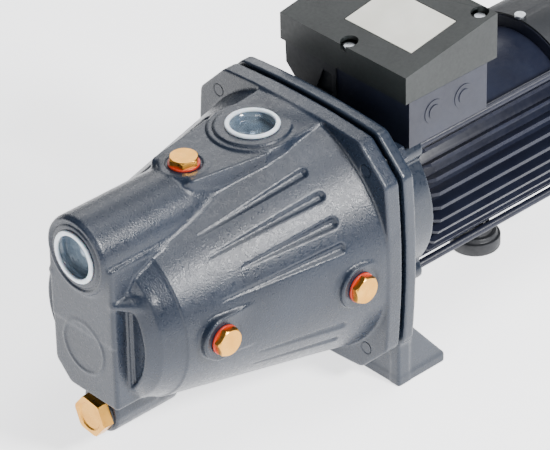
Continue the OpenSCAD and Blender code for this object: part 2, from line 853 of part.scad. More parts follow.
module rear_foot() {
    color(rubber_black) difference() {
        union() {
            translate([0, 134, 19]) cylinder(h = 14.9, r = 5.5);
            for (a = [0:60:300]) translate([0, 134, 19]) rotate([0, 0, a])
                translate([0, -1.2, 0]) cube([8.5, 2.4, 14.9]);
            translate([0, 134, 31]) cylinder(h = 2.9, r = 9);
        }
        translate([0, 134, 18]) cylinder(h = 20, r = 2.6);
    }
}

module rubber_foot() {
    color(rubber_black) difference() {
        union() {
            translate([0, 134, 0]) cylinder(h = 9, r = 17.5);
            translate([0, 134, 8.9]) cylinder(h = 3.1, r1 = 15.5, r2 = 14.5);
            translate([0, 134, 11.9]) cylinder(h = 7, r1 = 11.5, r2 = 9.5);
        }
        translate([0, 134, -cut]) cylinder(h = 7, r = 6.5);
        translate([0, 134, -cut]) cylinder(h = 22, r = 2.6);
    }
}

module foot_screw() {
    color(steel) {
        translate([0, 134, 2.2]) cylinder(h = 3.75, r = 5.5, $fn = 6);
        translate([0, 134, 5.9]) cylinder(h = 38, r = 2.5);
    }
}

// ---- Plugs and caps ----

// A hexagon plug whose shank points down from z = 0
module hex_plug(af, head, shank_r, shank_len) {
    intersection() {
        rotate([0, 0, hex_turn]) cylinder(h = head, r = af / 2 / cos(30), $fn = 6);
        union() {
            cylinder(h = head - 1.2, r = af * 0.6);
            translate([0, 0, head - 1.21]) cylinder(h = 1.21, r1 = af * 0.6, r2 = af * 0.5);
        }
    }
    translate([0, 0, -shank_len]) cylinder(h = shank_len + 0.1, r = shank_r);
}

module flat_washer(r_out, r_in, t) {
    difference() {
        cylinder(h = t, r = r_out);
        translate([0, 0, -cut]) cylinder(h = t + 2 * cut, r = r_in);
    }
}

module at_priming() { translate([0, priming_y, priming_z + fit_gap]) children(); }

module at_gauge(y, pad_x) {
    translate([pad_x + fit_gap, y, shaft_z]) rotate([0, 90, 0]) children();
}

module at_drain() { translate([0, drain_face_y - fit_gap, drain_z]) rotate([90, 0, 0]) children(); }

module small_plug() {
    color(brass) translate([0, 0, washer_t + fit_gap]) hex_plug(plug_af, plug_head, plug_r, 9);
}

module small_washer() {
    color(washer_red) flat_washer(washer_r, plug_r + 0.1, washer_t);
}

module priming_plug() { at_priming() small_plug(); }
module priming_washer() { at_priming() small_washer(); }
module gauge_plug_rear() { at_gauge(gauge_rear_y, pad_rear_x) small_plug(); }
module gauge_washer_rear() { at_gauge(gauge_rear_y, pad_rear_x) small_washer(); }
module gauge_plug_front() { at_gauge(gauge_front_y, pad_front_x) small_plug(); }
module gauge_washer_front() { at_gauge(gauge_front_y, pad_front_x) small_washer(); }

module drain_plug() {
    color(brass) at_drain() difference() {
        translate([0, 0, 2 + fit_gap]) hex_plug(drain_af, 8, 10.4, 12);
        translate([0, 0, 9]) cylinder(h = 4, r = 10);
    }
}

module drain_oring() {
    color(rubber_black) at_drain() flat_washer(13.6, 10.5, 2);
}

// A thin cup with a rim, pushed into a port's mouth; its open side faces out
module port_cap() {
    rim_t = 1.6;
    depth = 7.5;
    translate([0, 0, 0.05]) difference() {
        union() {
            cylinder(h = rim_t, r = 18);
            translate([0, 0, -depth]) cylinder(h = depth + 0.1, r = 16.2);
        }
        translate([0, 0, -depth + 1.2]) cylinder(h = depth + rim_t, r = 14.9);
    }
}

module suction_cap() {
    color(cap_white) translate([0, suction_y, suction_z]) rotate([90, 0, 0]) port_cap();
}

module discharge_cap() {
    color(cap_white) translate([0, discharge_y, discharge_z]) port_cap();
}

pump_casing();
casing_gasket();
motor_bracket();
bracket_foot();
diffuser();
venturi_tube();
ejector_nozzle();
ejector_oring();
impeller();
impeller_nut();
impeller_key();
shaft();
seal_seat();
seal_ring();
seal_spring();
slinger();
front_bearing_outer();
front_bearing_inner();
front_bearing_balls();
rear_bearing_outer();
rear_bearing_inner();
rear_bearing_balls();
wave_washer();
stator_core();
stator_windings();
rotor_core();
rotor_end_rings();
motor_housing();
rear_shield();
tie_bolts();
flange_bolts();
fan();
fan_clip();
fan_cover();
fan_cover_screws();
terminal_tray();
terminal_gasket();
terminal_cover();
cover_screws();
nameplate();
capacitor();
terminal_board();
terminal_studs();
knockout_plugs();
earth_screw();
rear_foot();
rubber_foot();
foot_screw();
priming_plug();
priming_washer();
gauge_plug_rear();
gauge_washer_rear();
gauge_plug_front();
gauge_washer_front();
drain_plug();
drain_oring();
suction_cap();
discharge_cap();
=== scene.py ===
"""Shallow well jet pump with its motor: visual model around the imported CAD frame."""

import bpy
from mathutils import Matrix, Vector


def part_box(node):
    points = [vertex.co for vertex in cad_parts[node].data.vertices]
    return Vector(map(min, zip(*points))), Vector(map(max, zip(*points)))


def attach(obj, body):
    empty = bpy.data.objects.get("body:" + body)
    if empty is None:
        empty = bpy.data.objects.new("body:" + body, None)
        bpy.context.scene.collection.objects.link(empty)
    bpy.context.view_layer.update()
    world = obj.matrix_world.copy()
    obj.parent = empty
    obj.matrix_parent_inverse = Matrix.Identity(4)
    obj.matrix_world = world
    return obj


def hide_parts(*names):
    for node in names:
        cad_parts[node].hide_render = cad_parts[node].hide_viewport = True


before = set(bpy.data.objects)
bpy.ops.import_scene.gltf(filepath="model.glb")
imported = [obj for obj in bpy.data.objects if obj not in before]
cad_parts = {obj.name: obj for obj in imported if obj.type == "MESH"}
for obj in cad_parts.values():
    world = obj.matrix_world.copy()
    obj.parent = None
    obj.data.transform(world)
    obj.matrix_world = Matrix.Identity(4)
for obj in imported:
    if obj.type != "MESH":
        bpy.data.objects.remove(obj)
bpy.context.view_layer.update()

import math

import bmesh
import bpy
import numpy as np
import openvdb
from mathutils import Matrix, Vector

MM = 0.001
SHAFT_Z = 100.0          # shaft height above the ground, mm
JOINT_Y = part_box("pump_casing")[1].y / MM
VOXEL_CAST = 0.8


def mm_box(node):
    """Lowest and highest corner of a CAD node, in millimetres."""
    low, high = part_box(node)
    return [c / MM for c in low], [c / MM for c in high]


# ---------------------------------------------------------------- materials

def srgb(r, g, b):
    """Linear colour from 0-255 screen values."""
    out = []
    for c in (r, g, b):
        c = c / 255
        out.append(c / 12.92 if c <= 0.04045 else ((c + 0.055) / 1.055) ** 2.4)
    return (*out, 1)


class Shader:
    """A principled material with short calls for the nodes that the finishes below need."""

    def __init__(self, name, **inputs):
        self.mat = bpy.data.materials.new(name)
        self.mat.use_nodes = True
        self.tree = self.mat.node_tree
        self.bsdf = self.tree.nodes["Principled BSDF"]
        for key, value in inputs.items():
            self.bsdf.inputs[key.replace("_", " ")].default_value = value
        self.coords = None

    def node(self, kind, **values):
        n = self.tree.nodes.new(kind)
        for key, value in values.items():
            if key in n.inputs:
                n.inputs[key].default_value = value
            else:
                setattr(n, key, value)
        return n

    def link(self, a, b):
        self.tree.links.new(a, b)

    def position(self):
        if self.coords is None:
            self.coords = self.node("ShaderNodeTexCoord").outputs["Object"]
        return self.coords

    def noise(self, size_mm, detail=2.0, roughness=0.5):
        n = self.node("ShaderNodeTexNoise", Scale=1 / (size_mm * MM), Detail=detail,
                      Roughness=roughness)
        self.link(self.position(), n.inputs["Vector"])
        return n.outputs["Fac"]

    def ramp(self, factor, stops):
        n = self.node("ShaderNodeValToRGB")
        while len(n.color_ramp.elements) < len(stops):
            n.color_ramp.elements.new(0.5)
        for element, (at, colour) in zip(n.color_ramp.elements, stops):
            element.position = at
            element.color = colour
        self.link(factor, n.inputs["Fac"])
        return n.outputs["Color"]

    def span(self, factor, low, high, a=0.3, b=0.7):
        n = self.node("ShaderNodeMapRange")
        n.inputs["From Min"].default_value = a
        n.inputs["From Max"].default_value = b
        n.inputs["To Min"].default_value = low
        n.inputs["To Max"].default_value = high
        self.link(factor, n.inputs["Value"])
        return n.outputs["Result"]

    def bump(self, height, strength, distance_mm, under=None):
        n = self.node("ShaderNodeBump", Strength=strength, Distance=distance_mm * MM)
        self.link(height, n.inputs["Height"])
        if under is not None:
            self.link(under, n.inputs["Normal"])
        return n.outputs["Normal"]

    def base(self, colour):
        self.link(colour, self.bsdf.inputs["Base Color"])

    def rough(self, value):
        self.link(value, self.bsdf.inputs["Roughness"])

    def normal(self, value):
        self.link(value, self.bsdf.inputs["Normal"])


def cast_paint(name, colour, light, grain, rough=(0.24, 0.36)):
    """Paint over a sand casting: fine stipple over slow waves."""
    s = Shader(name)
    s.bsdf.inputs["Specular IOR Level"].default_value = 0.5
    cloud = s.noise(38, 3)
    tone = s.ramp(cloud, [(0.30, colour), (0.72, light)])
    s.base(tone)
    s.rough(s.span(s.noise(3.0, 2), *rough))
    waves = s.bump(s.noise(14, 2), 0.30, 0.5)
    pits = s.bump(s.noise(1.1, 3, 0.6), grain, 0.45, waves)
    s.normal(pits)
    return s.mat


def satin(name, colour, light, rough=(0.34, 0.48), size=1.2, grain=0.12, specular=0.5):
    """Painted or moulded surface with a fine even texture."""
    s = Shader(name)
    s.bsdf.inputs["Specular IOR Level"].default_value = specular
    s.base(s.ramp(s.noise(25, 3), [(0.35, colour), (0.7, light)]))
    s.rough(s.span(s.noise(size * 3, 2), *rough))
    s.normal(s.bump(s.noise(size, 2), grain, 0.2))
    return s.mat


def turned_brass():
    s = Shader("brass", Metallic=1.0)
    s.base(s.ramp(s.noise(9, 2), [(0.3, srgb(206, 146, 60)), (0.75, srgb(224, 168, 80))]))
    s.rough(s.span(s.noise(3, 2), 0.26, 0.34))
    s.normal(s.bump(s.noise(1.2, 2), 0.04, 0.08))
    return s.mat


def metal(name, colour, rough=(0.24, 0.42), size=2.0):
    s = Shader(name, Metallic=1.0)
    dark = tuple(c * 0.86 for c in colour[:3]) + (1,)
    s.base(s.ramp(s.noise(8, 2), [(0.35, dark), (0.7, colour)]))
    s.rough(s.span(s.noise(size, 3), *rough))
    return s.mat


def clear_cap():
    """Milky translucent moulding."""
    s = Shader("cap_clear", Roughness=0.12, IOR=1.46)
    s.bsdf.inputs["Transmission Weight"].default_value = 0.80
    s.bsdf.inputs["Specular IOR Level"].default_value = 0.6
    s.base(s.ramp(s.noise(9, 2), [(0.3, srgb(150, 172, 194)), (0.7, srgb(184, 202, 218))]))
    s.normal(s.bump(s.noise(5, 2), 0.10, 0.3))
    return s.mat


def cap_rim():
    s = Shader("cap_rim", Roughness=0.28, IOR=1.46)
    s.bsdf.inputs["Transmission Weight"].default_value = 0.12
    s.bsdf.inputs["Subsurface Weight"].default_value = 0.2
    s.bsdf.inputs["Subsurface Scale"].default_value = 0.002
    s.base(s.ramp(s.noise(6, 2), [(0.3, srgb(196, 208, 218)), (0.7, srgb(216, 226, 234))]))
    s.normal(s.bump(s.noise(2.5, 2), 0.08, 0.2))
    return s.mat


MAT = {
    "cast": cast_paint("cast_blue_grey", srgb(19, 27, 40), srgb(27, 36, 50), grain=0.54),
    "bracket": cast_paint("bracket_blue_grey", srgb(24, 32, 44), srgb(31, 40, 53), grain=0.18),
    "navy": satin("motor_navy", srgb(22, 25, 39), srgb(28, 32, 47), rough=(0.34, 0.46), specular=0.34),
    "charcoal": satin("cover_charcoal", srgb(24, 28, 28), srgb(31, 35, 35), rough=(0.40, 0.52),
                      size=0.7, specular=0.36),
    "black": satin("black_plastic", srgb(20, 23, 28), srgb(27, 30, 35), rough=(0.42, 0.56), size=0.8,
                   specular=0.36),
    "moulding": satin("hydraulic_moulding", srgb(36, 37, 40), srgb(46, 47, 50)),
    "rubber": satin("rubber_black", srgb(22, 23, 26), srgb(34, 36, 40), rough=(0.45, 0.62), size=1.0),
    "brass": turned_brass(),
    "steel": metal("zinc_steel", srgb(176, 180, 184)),
    "bright": metal("bearing_steel", srgb(205, 207, 210), rough=(0.10, 0.20)),
    "core": metal("core_steel", srgb(120, 122, 126), rough=(0.40, 0.55)),
    "copper": metal("copper_wire", srgb(190, 112, 62), rough=(0.30, 0.45)),
    "aluminium": metal("cast_aluminium", srgb(190, 192, 196), rough=(0.35, 0.50)),
    "red": satin("washer_red", srgb(158, 36, 16), srgb(190, 56, 28), rough=(0.25, 0.4), grain=0.05),
    "plate": satin("plate_white", srgb(206, 205, 194), srgb(220, 219, 210), rough=(0.30, 0.42),
                   grain=0.03),
    "ceramic": satin("seal_ceramic", srgb(205, 202, 190), srgb(220, 217, 206)),
    "cap_clear": clear_cap(),
    "cap_rim": cap_rim(),
}


# ---------------------------------------------------------------- mesh helpers

def make(name, verts, faces, mat, body, slot_name, replaced=()):
    """A piece from points in millimetres, riding on a body."""
    mesh = bpy.data.meshes.new(name)
    mesh.from_pydata([tuple(c * MM for c in v) for v in verts], [], faces)
    mesh.validate()
    obj = bpy.data.objects.new(name, mesh)
    bpy.context.scene.collection.objects.link(obj)
    return dress(obj, mat, body, slot_name, replaced)


def dress(obj, mat, body, slot_name, replaced=()):
    """Material, smooth shading and the body it rides on for a new piece."""
    obj.data.materials.clear()
    obj.data.materials.append(MAT[mat])
    obj.data.polygons.foreach_set("use_smooth", [True] * len(obj.data.polygons))
    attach(obj, body)
    if replaced:
        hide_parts(*replaced)
    return obj


def sharp_by_angle(obj, degrees):
    """Marks the edges that turn more than an angle as sharp."""
    bm = bmesh.new()
    bm.from_mesh(obj.data)
    limit = math.radians(degrees)
    for edge in bm.edges:
        if len(edge.link_faces) == 2 and edge.calc_face_angle(0) > limit:
            edge.smooth = False
    bm.to_mesh(obj.data)
    bm.free()


def bevelled(obj, width_mm):
    """Rounds the edges of a CAD node that turn more than 30 degrees."""
    mod = obj.modifiers.new("edges", "BEVEL")
    mod.width = width_mm * MM
    mod.segments = 2
    mod.limit_method = "ANGLE"
    mod.angle_limit = math.radians(30)
    mod.harden_normals = False


def lathe(profile, steps=96, closed=True):
    """Points and faces of a profile of (radius, height) turned about +Z."""
    verts, faces = [], []
    n = len(profile)
    for i in range(steps):
        a = 2 * math.pi * i / steps
        for r, z in profile:
            verts.append((r * math.cos(a), r * math.sin(a), z))
    last = n if closed else n - 1
    for i in range(steps):
        j = (i + 1) % steps
        for k in range(last):
            m = (k + 1) % n
            faces.append((i * n + k, j * n + k, j * n + m, i * n + m))
    return verts, faces


def placed(verts, origin, axis):
    """Points whose +Z turns to axis, moved to origin."""
    turn = Vector((0, 0, 1)).rotation_difference(Vector(axis)).to_matrix()
    return [tuple(turn @ Vector(v) + Vector(origin)) for v in verts]


def arc(cx, cy, r, start, end, steps=6):
    return [(cx + r * math.cos(math.radians(start + (end - start) * i / steps)),
             cy + r * math.sin(math.radians(start + (end - start) * i / steps)))
            for i in range(steps + 1)]


# ---------------------------------------------------------------- distance fields

def smooth_min(a, b, k):
    if k <= 0:
        return np.minimum(a, b)
    h = np.maximum(k - np.abs(a - b), 0) / k
    return np.minimum(a, b) - h * h * k * 0.25


def smooth_max(a, b, k):
    return -smooth_min(-a, -b, k)


class Casting:
    """A solid kept as distances on a grid, so that its parts melt together as in a casting.

    A shape is a function of x, y and z in millimetres that is negative inside. A window, from
    low to high, limits the work to the part of the grid that the shape can change.
    """

    def __init__(self, low, high, voxel):
        self.low = np.array(low, np.float32)
        self.voxel = voxel
        counts = [int(math.ceil((b - a) / voxel)) + 1 for a, b in zip(low, high)]
        self.axes = [(self.low[i] + np.arange(counts[i]) * voxel).astype(np.float32) for i in range(3)]
        self.field = np.full(counts, 50.0, np.float32)

    def _window(self, low, high):
        spans = []
        for i in range(3):
            a = 0 if low is None else int(np.searchsorted(self.axes[i], low[i]))
            b = len(self.axes[i]) if high is None else int(np.searchsorted(self.axes[i], high[i]))
            spans.append(slice(a, b))
        x = self.axes[0][spans[0]].reshape(-1, 1, 1)
        y = self.axes[1][spans[1]].reshape(1, -1, 1)
        z = self.axes[2][spans[2]].reshape(1, 1, -1)
        return tuple(spans), x, y, z

    def add(self, shape, blend=0.0, low=None, high=None):
        at, x, y, z = self._window(low, high)
        self.field[at] = smooth_min(self.field[at], shape(x, y, z).astype(np.float32), blend)

    def cut(self, shape, blend=0.0, low=None, high=None):
        at, x, y, z = self._window(low, high)
        self.field[at] = smooth_max(self.field[at], -shape(x, y, z).astype(np.float32), blend)

    def mesh(self, name, mat, body, slot_name, replaced):
        band = 3 * self.voxel
        grid = openvdb.FloatGrid(band)
        grid.copyFromArray(np.clip(self.field, -band, band))
        points, triangles, quads = grid.convertToPolygons(isovalue=0.0, adaptivity=0.0)
        points = points * self.voxel + self.low
        mesh = bpy.data.meshes.new(name)
        faces = [tuple(int(i) for i in f[::-1]) for f in (*quads, *triangles)]
        mesh.from_pydata((points * MM).tolist(), [], faces)
        mesh.validate()
        obj = bpy.data.objects.new(name, mesh)
        bpy.context.scene.collection.objects.link(obj)
        return dress(obj, mat, body, slot_name, replaced)


def box_field(x, y, z, low, high, r=0.0):
    """Box with edges rounded to r."""
    out = [np.abs(c - (a + b) / 2) - (b - a) / 2 + r for c, a, b in zip((x, y, z), low, high)]
    outside = np.sqrt(sum(np.maximum(d, 0) ** 2 for d in out))
    inner = np.minimum(np.maximum(np.maximum(out[0], out[1]), out[2]), 0)
    return outside + inner - r


def along(c, a, b):
    """Distance outside the stretch a to b."""
    return np.abs(c - (a + b) / 2) - (b - a) / 2


def rod_field(u, v, w, cu, cv, r, w0, w1, edge=0.0):
    """Cylinder of radius r about (cu, cv), between w0 and w1 along its axis."""
    radial = np.sqrt((u - cu) ** 2 + (v - cv) ** 2) - r
    return smooth_max(radial, along(w, w0, w1), edge)


def flange_field(x, z):
    """Outline of the eight-sided flange with its bowed sides."""
    half, side, bow = 86.3, 63.0, 3.0
    zz = z - SHAFT_Z
    flat_z = np.abs(zz) - half - bow * (1 - np.minimum(np.abs(x) / side, 1) ** 2)
    flat_x = np.abs(x) - half - bow * (1 - np.minimum(np.abs(zz) / side, 1) ** 2)
    corner = (np.abs(x) + np.abs(zz) - half - side) / math.sqrt(2)
    return smooth_max(smooth_max(flat_x, flat_z, 0.0), corner, 2.0)


FLANGE_FRONT = JOINT_Y - 12
STEP_Y = -182.0
COLLAR_Y = -197.0
COLLAR_R = 54.0
NOSE_Y = -204.5
NOSE_R = 46.5
PLATE_Y = -215.5
TUBE_Z = (mm_box("suction_cap")[0][2] + mm_box("suction_cap")[1][2]) / 2
PORT_Y = (mm_box("discharge_cap")[0][1] + mm_box("discharge_cap")[1][1]) / 2
PRIMING_Y = (mm_box("priming_washer")[0][1] + mm_box("priming_washer")[1][1]) / 2
PRIMING_TOP = mm_box("priming_washer")[0][2] - 0.05
DRAIN_Z = (mm_box("drain_oring")[0][2] + mm_box("drain_oring")[1][2]) / 2
SUCTION_FACE = -219.0
DISCHARGE_FACE = 187.0
DECK_Z = 184.5
PORT_R = 15.15           # root of the ports' thread
MOUTH_R = 16.9
THREAD_PITCH = 2.31
WALL = 6.5
PLATE_HALF = 29.5        # half width of the front block
PLATE_BOTTOM = 52.0
PLUG_BORE_R = 6.65
DRAIN_BORE_R = 10.55
CORNER_BOLT = 68.2       # flange bolts, left and right of and above and below the shaft
TIE_BOLT = 46.7
SLOT_X = 60.3


def barrel_radius(y):
    return 90.2 + 0.203 * (y - FLANGE_FRONT)


def barrel(x, y, z):
    rho = np.sqrt(x * x + (z - SHAFT_Z) ** 2)
    cone = (rho - barrel_radius(y)) * 0.98
    clipped = smooth_max(cone, flange_field(x, z) + 0.4, 1.5)
    return smooth_max(clipped, along(y, STEP_Y, JOINT_Y - 2), 0.5)


def collar(x, y, z):
    """Steep shoulder in front of the barrel, rounding over to the rim of the nose."""
    rho = np.sqrt(x * x + (z - SHAFT_Z) ** 2)
    radius = np.interp(y, [NOSE_Y, COLLAR_Y, STEP_Y], [NOSE_R, COLLAR_R, 59.8]).astype(np.float32)
    return smooth_max((rho - radius) * 0.85, along(y, NOSE_Y, -160), 1.0)


def front_recess(x, y, z):
    """Leaf-shaped pockets in the nose, a thin rib away from the front block."""
    rho = np.sqrt(x * x + (z - SHAFT_Z) ** 2)
    leaf = smooth_max(rho - 44.6, 32.6 - np.abs(x), 0.6)
    floor = NOSE_Y + 2.0 - 0.10 * np.maximum(np.abs(x) - 32, 0)
    return smooth_max(leaf, y - floor, 1.2)


def brow(x, y, z):
    """Web of metal that runs from the collar to the edge of the front block above each pocket."""
    a = np.array([38.0, -194.0, 128.5])
    b = np.array([29.0, -213.0, 132.0])
    d = b - a
    t = ((np.abs(x) - a[0]) * d[0] + (y - a[1]) * d[1] + (z - a[2]) * d[2]) / float(d @ d)
    t = np.clip(t, 0, 1)
    gap = ((np.abs(x) - a[0] - t * d[0]) ** 2 + (y - a[1] - t * d[1]) ** 2
           + (z - a[2] - t * d[2]) ** 2)
    return np.sqrt(gap) - (7.0 - 4.2 * t)


def front_block(x, y, z):
    body = box_field(x, y, z, (-PLATE_HALF, PLATE_Y, PLATE_BOTTOM), (PLATE_HALF, -150, TUBE_Z), 2.6)
    corner = ((-x - PLATE_HALF) + (PLATE_BOTTOM - z) + 13.5) / math.sqrt(2)
    return smooth_max(body, corner, 3.0)


def arch_half_width(y):
    return np.interp(y, [PLATE_Y, -190, -174.5, -149.5, -117.5, -85],
                     [29.5, 28.2, 26.6, 25.2, 21.5, 15.0]).astype(np.float32)


def arch(x, y, z):
    """Straight cheeks that join the suction tube to the barrel."""
    sides = np.abs(x) - arch_half_width(y)
    upright = along(z, SHAFT_Z, TUBE_Z)
    return smooth_max(smooth_max(sides, upright, 0.0), along(y, PLATE_Y, -85), 2.5)


def crease_bead(x, y, z):
    """Thin bead along the line where the upright cheeks meet the barrel."""
    stations = [-196, -164, -155, -125, -93]
    across = np.interp(y, stations, [30.0, 26.4, 25.4, 24.8, 21.6]).astype(np.float32)
    up = np.interp(y, stations, [36.0, 52.4, 55.6, 61.6, 69.6]).astype(np.float32)
    bead = np.sqrt((np.abs(x) - across) ** 2 + (z - SHAFT_Z - up) ** 2) - 1.5
    return np.maximum(bead, along(y, -204, -93))


def tube(x, y, z):
    radius = np.interp(y, [PLATE_Y, -140, -85, -60], [27.0, 26.8, 24.0, 20.0]).astype(np.float32)
    radial = np.sqrt(x * x + (z - TUBE_Z) ** 2) - radius
    return smooth_max(radial, along(y, PLATE_Y - 1.8, -70), 2.5)


def deck(x, y, z):
    half = np.interp(y, [-150, -140, -84, FLANGE_FRONT], [15.5, 18.5, 28.5, 28.5]).astype(np.float32)
    top = np.interp(y, [-150, PORT_Y, FLANGE_FRONT], [DECK_Z - 0.6, DECK_Z, 187.0]).astype(np.float32)
    walls = smooth_max((np.abs(x) - half) * 0.98, z - top, 1.4)
    return smooth_max(smooth_max(walls, along(y, -141, JOINT_Y - 2), 6.0), 150.0 - z, 0.0)


def flange(x, y, z):
    return smooth_max(flange_field(x, z), along(y, FLANGE_FRONT, JOINT_Y), 1.6)


def flute(angle, y0, y1, r1, depth):
    """Tapering groove in the barrel that ends in a round wall."""
    a = math.radians(angle)

    def shape(x, y, z):
        t = np.clip((y - y0) / (y1 - y0), 0, 1)
        r = 0.6 + (r1 - 0.6) * t
        centre = barrel_radius(y0 + (y1 - y0) * t) + r - 0.2 - depth * t
        dx = np.abs(x) - centre * math.cos(a)
        dz = z - SHAFT_Z - centre * math.sin(a)
        dy = y - (y0 + (y1 - y0) * t)
        return np.sqrt(dx * dx + dz * dz + dy * dy) - r
    return shape


def build_casing():
    """The whole pump casting, front to back, then its water space and holes."""
    low, high = mm_box("pump_casing")
    c = Casting([v - 4 for v in low], [v + 4 for v in high], VOXEL_CAST)
    c.add(collar)
    c.add(barrel, 0.6)
    c.cut(front_recess, 0.8, (-60, -225, 40), (60, -190, 165))
    c.add(front_block, 2.0, (-50, -225, 40), (50, -140, 190))
    c.add(brow, 2.6, (-60, -225, 110), (60, -170, 150))
    c.add(arch, 2.0, (-50, -225, 90), (50, -70, 190))
    c.add(crease_bead, 1.6, (-50, -210, 110), (50, -85, 185))
    c.add(tube, 3.0, (-50, -225, 110), (50, -50, 195))
    c.add(deck, 2.4, (-50, -165, 120), (50, -20, 195))
    # drain channel under the front
    c.add(lambda x, y, z: rod_field(x, z, y, 0, DRAIN_Z, 15.5, -204.5, -152, 2.0),
          6.0, (-40, -220, 10), (40, -130, 80))
    c.add(lambda x, y, z: box_field(x, y, z, (-15, -204, DRAIN_Z), (15, -170, 60), 2.0),
          4.0, (-40, -220, 10), (40, -130, 80))
    # bosses on the deck
    c.add(lambda x, y, z: rod_field(x, y, z, 0, PORT_Y, 29.2, 150, 185.6, 1.0), 1.2,
          (-45, -115, 140), (45, -25, 195))
    c.add(lambda x, y, z: rod_field(x, y, z, 0, PORT_Y, 25.0, 150, DISCHARGE_FACE, 0.7), 0.5,
          (-45, -115, 140), (45, -25, 195))
    c.add(lambda x, y, z: rod_field(x, y, z, 0, PRIMING_Y, 16.2, 160, PRIMING_TOP, 1.0), 2.0,
          (-40, -155, 150), (40, -100, 195))
    # suction boss with a shallow groove behind its lip
    c.add(lambda x, y, z: rod_field(x, z, y, 0, TUBE_Z, 26.0, SUCTION_FACE, -200, 1.2), 1.0,
          (-40, -225, 120), (40, -195, 190))
    c.cut(lambda x, y, z: np.maximum(np.abs(np.sqrt(x * x + (z - TUBE_Z) ** 2) - 22.3) - 0.8,
                                     along(y, SUCTION_FACE - 2, SUCTION_FACE + 1.0)), 0.6,
          (-40, -225, 120), (40, -210, 190))
    gauge_pad(c, "gauge_washer_rear", 4)
    gauge_pad(c, "gauge_washer_front", 20)
    c.add(flange, 2.2, (-95, -50, 5), (95, -20, 195))
    for angle, y0, y1, r1, depth in ((57.5, -150, -69, 3.4, 2.3), (45, -150, -68, 3.5, 2.4),
                                     (32.3, -134, -68, 3.8, 2.8), (20.5, -153, -68, 3.6, 2.6),
                                     (-21, -128, -68, 3.2, 1.5), (-32, -128, -68, 3.2, 1.5)):
        c.cut(flute(angle, y0, y1, r1, depth), 1.2, (-95, -165, 40), (95, -55, 190))
    # plain raised ring on the front plate
    c.add(lambda x, y, z: smooth_max(np.abs(np.sqrt(x * x + (z - 88) ** 2) - 18.6) - 0.9,
                                     along(y, PLATE_Y - 0.7, PLATE_Y + 2), 0.8), 1.2,
          (-30, -225, 60), (30, -205, 120))
    bore_casing(c)
    return c.mesh("casing_cast", "cast", "base", "cast_blue_grey", ["pump_casing"])


def gauge_pad(c, washer, tail):
    """Boss for a plug, proud of the cone in front and fading into it behind."""
    low, high = mm_box(washer)
    pad_x, y0 = low[0] - 0.05, (low[1] + high[1]) / 2
    window = ((pad_x - 25, y0 - 30, SHAFT_Z - 30), (95, y0 + tail + 22, SHAFT_Z + 30))

    def boss(x, y, z):
        reach = np.maximum(y0 - y, 0) + np.maximum(y - y0 - tail, 0)
        sides = np.sqrt(reach ** 2 + (z - SHAFT_Z) ** 2) - 15.4
        return smooth_max(sides, along(x, pad_x - 24, pad_x), 1.8)

    def face(x, y, z):
        return smooth_max(np.sqrt((y - y0) ** 2 + (z - SHAFT_Z) ** 2) - 13.6, pad_x - x, 0.8)
    c.add(boss, 1.6, *window)
    c.cut(face, 0.8, *window)


def bore_casing(c):
    """Water space, ports and threaded holes."""
    def water(x, y, z):
        rho = np.sqrt(x * x + (z - SHAFT_Z) ** 2)
        cone = rho - barrel_radius(np.maximum(y, STEP_Y)) + WALL - 0.195 * np.minimum(y - STEP_Y, 0)
        space = np.maximum(cone, along(y, -192.0, JOINT_Y + 3))
        return np.maximum(space, 22.0 - np.abs(x) - 40 * np.clip((y + 176) / 2, 0, 1))
    c.cut(water)
    c.cut(lambda x, y, z: rod_field(x, z, y, 0, SHAFT_Z, 74.3, JOINT_Y - 8, JOINT_Y + 3))
    for plug in ("gauge_washer_rear", "gauge_washer_front"):
        low, high = mm_box(plug)
        y0 = (low[1] + high[1]) / 2
        c.add(lambda x, y, z: np.maximum(
            box_field(x, y, z, (low[0] - 9, y0 - 16, SHAFT_Z - 16),
                      (low[0] - 1, y0 + 20, SHAFT_Z + 16)),
            (np.sqrt(x * x + (z - SHAFT_Z) ** 2) - barrel_radius(y)) * 0.98 + 3), 0,
              (40, y0 - 20, 80), (95, y0 + 22, 120))
        c.cut(lambda x, y, z: rod_field(y, z, x, y0, SHAFT_Z, PLUG_BORE_R, low[0] - 14, low[0] + 6), 0,
              (35, y0 - 20, 80), (95, y0 + 20, 120))
    c.cut(lambda x, y, z: rod_field(x, y, z, 0, PRIMING_Y, 12.0, PRIMING_TOP, 195), 0.5,
          (-20, PRIMING_Y - 20, 165), (20, PRIMING_Y + 20, 195))
    c.cut(lambda x, y, z: rod_field(x, y, z, 0, PRIMING_Y, PLUG_BORE_R, 172, 190), 0,
          (-20, PRIMING_Y - 15, 165), (20, PRIMING_Y + 15, 195))
    c.cut(lambda x, y, z: rod_field(x, z, y, 0, DRAIN_Z, DRAIN_BORE_R, -210, -160), 0,
          (-20, -215, 15), (20, -150, 50))
    threaded_bore(c, lambda x, y, z: np.sqrt(x * x + (z - TUBE_Z) ** 2),
                  lambda x, y, z: y - SUCTION_FACE, 40, ((-30, -225, 125), (30, -170, 190)))
    threaded_bore(c, lambda x, y, z: np.sqrt(x * x + (y - PORT_Y) ** 2),
                  lambda x, y, z: DISCHARGE_FACE - z, 32, ((-30, -105, 140), (30, -35, 195)))
    for x0 in (-CORNER_BOLT, CORNER_BOLT):
        for z0 in (SHAFT_Z - CORNER_BOLT, SHAFT_Z + CORNER_BOLT):
            c.cut(lambda x, y, z: rod_field(x, z, y, x0, z0, 4.0, FLANGE_FRONT - 4, JOINT_Y + 3), 0,
                  (x0 - 9, -45, z0 - 9), (x0 + 9, -20, z0 + 9))


